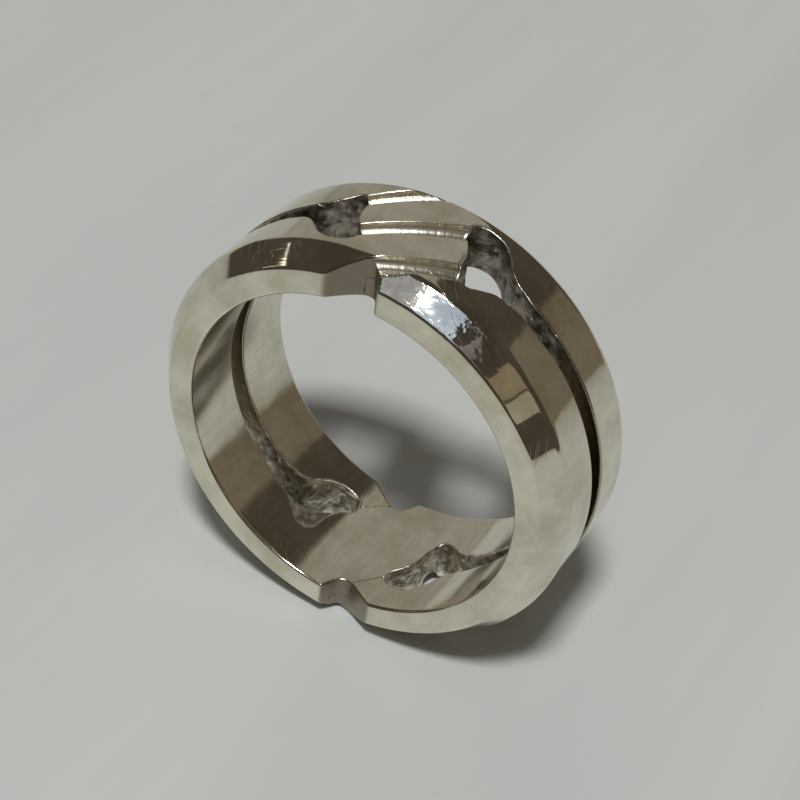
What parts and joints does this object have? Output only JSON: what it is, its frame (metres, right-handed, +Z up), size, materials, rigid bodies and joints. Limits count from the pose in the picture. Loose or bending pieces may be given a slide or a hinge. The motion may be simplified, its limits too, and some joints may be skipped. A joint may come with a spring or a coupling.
{
  "type": "linked puzzle finger ring",
  "caption": "Silver puzzle finger ring whose linked rings fold into one slotted band with a grooved diagonal crossing, and lift apart.",
  "frame": {"origin": "middle of the flat under the foot of the standing band, on the surface it stands on", "axes": "+Z up through the grooved crossing at the top; Y along the finger hole, with the front face at -Y; +X to the right seen from the front"},
  "size_m": [0.023, 0.0086, 0.0228],
  "materials": {
    "base_ring_silver": "polished cast silver, lightly scratched, with a rough grey casting skin left in the slots and hollows",
    "lift_ring_silver": "polished cast silver, lightly scratched, with a rough grey casting skin left in the slots and hollows"
  },
  "bodies": {
    "base": {"base_ring": "base_ring_silver"},
    "lift": {"lift_ring": "lift_ring_silver"}
  },
  "joints": [
    {"name": "ring_lift", "type": "slide", "parent": "base", "child": "lift", "axis": [0, 0, 1], "range_m": [0, 0.017]}
  ]
}
